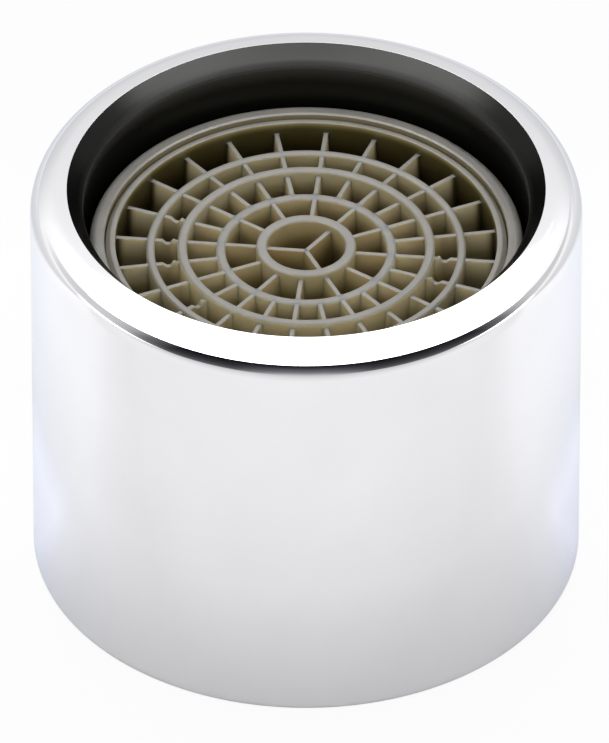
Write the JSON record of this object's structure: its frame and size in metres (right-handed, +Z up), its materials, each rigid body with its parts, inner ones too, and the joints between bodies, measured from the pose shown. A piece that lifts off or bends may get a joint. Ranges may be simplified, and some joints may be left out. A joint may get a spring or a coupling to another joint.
{
  "type": "tap aerator",
  "caption": "Chromed tap aerator with an inner spout thread, rounded outlet rim and a recessed moulded grid of rings and fins over wire screens, jet plate and strainer.",
  "frame": {"origin": "centre of the inlet face, which the aerator stands on", "axes": "+Z up the flow axis from the inlet to the outlet rim, -Y towards the camera of the picture, +X to its right"},
  "size_m": [0.024, 0.024, 0.0195],
  "materials": {
    "chrome_plate": "polished",
    "seal_rubber": "matt",
    "insert_plastic": "satin, as moulded",
    "jet_plastic": "satin, as moulded",
    "screen_wire": "drawn wire"
  },
  "bodies": {
    "root": {"housing": "chrome_plate", "sealing_washer": "seal_rubber", "insert_sleeve": "insert_plastic", "jet_plate": "jet_plastic", "strainer": "jet_plastic", "lower_screen": "screen_wire", "screen_spacer": "insert_plastic", "upper_screen": "screen_wire", "outlet_grid": "insert_plastic"}
  },
  "joints": []
}
